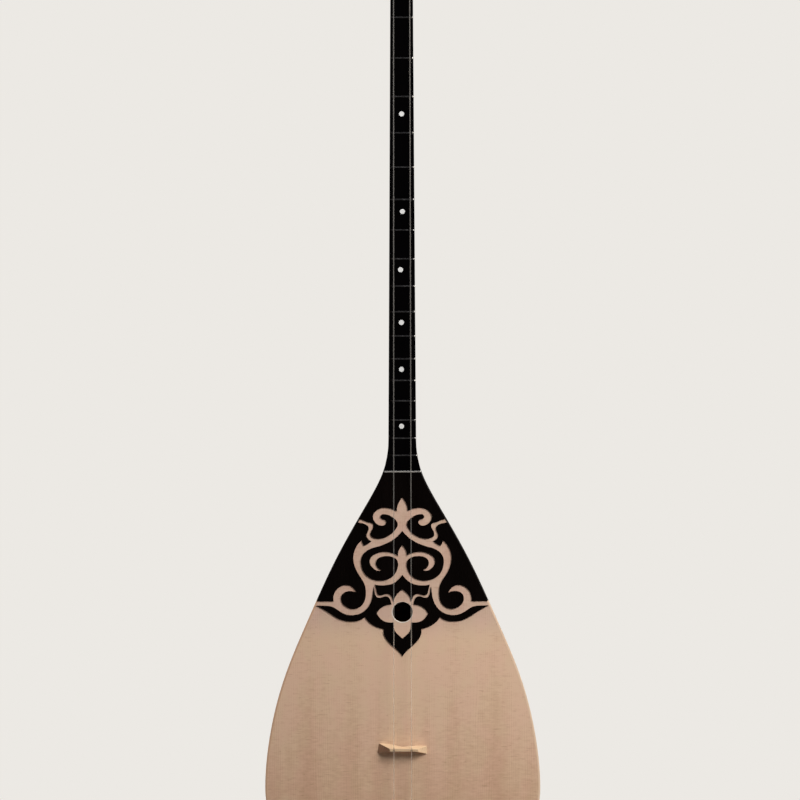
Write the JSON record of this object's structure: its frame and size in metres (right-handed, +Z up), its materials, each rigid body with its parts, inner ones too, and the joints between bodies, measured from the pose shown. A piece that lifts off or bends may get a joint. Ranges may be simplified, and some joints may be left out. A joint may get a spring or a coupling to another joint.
{
  "type": "two-string long-necked lute",
  "caption": "Long-necked plucked lute with a deep bowl of bent ribs, fretted black fingerboard, scroll-ornament overlay, loose bridge and side tuning pegs.",
  "frame": {"origin": "on the back of the neck, on its centre line, level with the nut, where a wall hanger's yoke holds it", "axes": "+Z up the neck towards the head, -Y out of the fingerboard towards the listener, +X to the right of someone facing the strings"},
  "size_m": [0.2126, 0.0966, 0.9307],
  "materials": {
    "bowl_wood": "satin varnish",
    "neck_wood": "satin varnish",
    "board_black": "satin",
    "overlay_black": "satin",
    "fret_metal": "worn",
    "dot_white": "gloss",
    "bone_white": "satin",
    "dark_strip": "satin",
    "inner_wood": "raw",
    "soundboard_wood": "satin",
    "binding_wood": "satin",
    "cap_wood": "satin",
    "peg_wood": "polished",
    "bridge_wood": "raw",
    "string_nylon": "smooth"
  },
  "bodies": {
    "body": {"braces": "inner_wood", "edge_binding_left": "binding_wood", "edge_binding_right": "binding_wood", "fingerboard": "board_black", "fret_01": "fret_metal", "fret_02": "fret_metal", "fret_03": "fret_metal", "fret_04": "fret_metal", "fret_05": "fret_metal", "fret_06": "fret_metal", "fret_07": "fret_metal", "fret_08": "fret_metal", "fret_09": "fret_metal", "fret_10": "fret_metal", "fret_11": "fret_metal", "fret_12": "fret_metal", "fret_13": "fret_metal", "fret_14": "fret_metal", "fret_15": "fret_metal", "fret_16": "fret_metal", "fret_17": "fret_metal", "fret_18": "fret_metal", "fret_19": "fret_metal", "head": "neck_wood", "head_veneer": "board_black", "lining_left": "inner_wood", "lining_right": "inner_wood", "lower_saddle": "bone_white", "neck": "neck_wood", "neck_block": "inner_wood", "nut": "bone_white", "overlay_apron": "overlay_black", "overlay_centre": "overlay_black", "overlay_crown": "overlay_black", "overlay_link": "overlay_black", "overlay_side_left": "overlay_black", "overlay_side_right": "overlay_black", "position_dots": "dot_white", "rib_1": "bowl_wood", "rib_2": "bowl_wood", "rib_3": "bowl_wood", "rib_4": "bowl_wood", "rib_5": "bowl_wood", "rib_6": "bowl_wood", "rib_7": "bowl_wood", "rib_spacers": "dark_strip", "soundboard_left": "soundboard_wood", "soundboard_right": "soundboard_wood", "string_1": "string_nylon", "string_2": "string_nylon", "tail_block": "inner_wood", "tail_button": "peg_wood", "tail_cap": "cap_wood", "tail_loop": "string_nylon"},
    "peg_left": {"peg_left": "peg_wood", "winding_left": "string_nylon"},
    "peg_right": {"peg_right": "peg_wood", "winding_right": "string_nylon"},
    "bridge": {"bridge": "bridge_wood"}
  },
  "joints": [
    {"name": "peg_left_turn", "type": "hinge", "parent": "body", "child": "peg_left", "pos_m": [0, -0.00226, 0.04357], "axis": [1, 0, 0], "continuous": true},
    {"name": "peg_right_turn", "type": "hinge", "parent": "body", "child": "peg_right", "pos_m": [0, 0.0014, 0.07838], "axis": [1, 0, 0], "continuous": true},
    {"name": "bridge_slide", "type": "slide", "parent": "body", "child": "bridge", "axis": [0, 0, 1], "range_m": [-0.003, 0.003]}
  ]
}
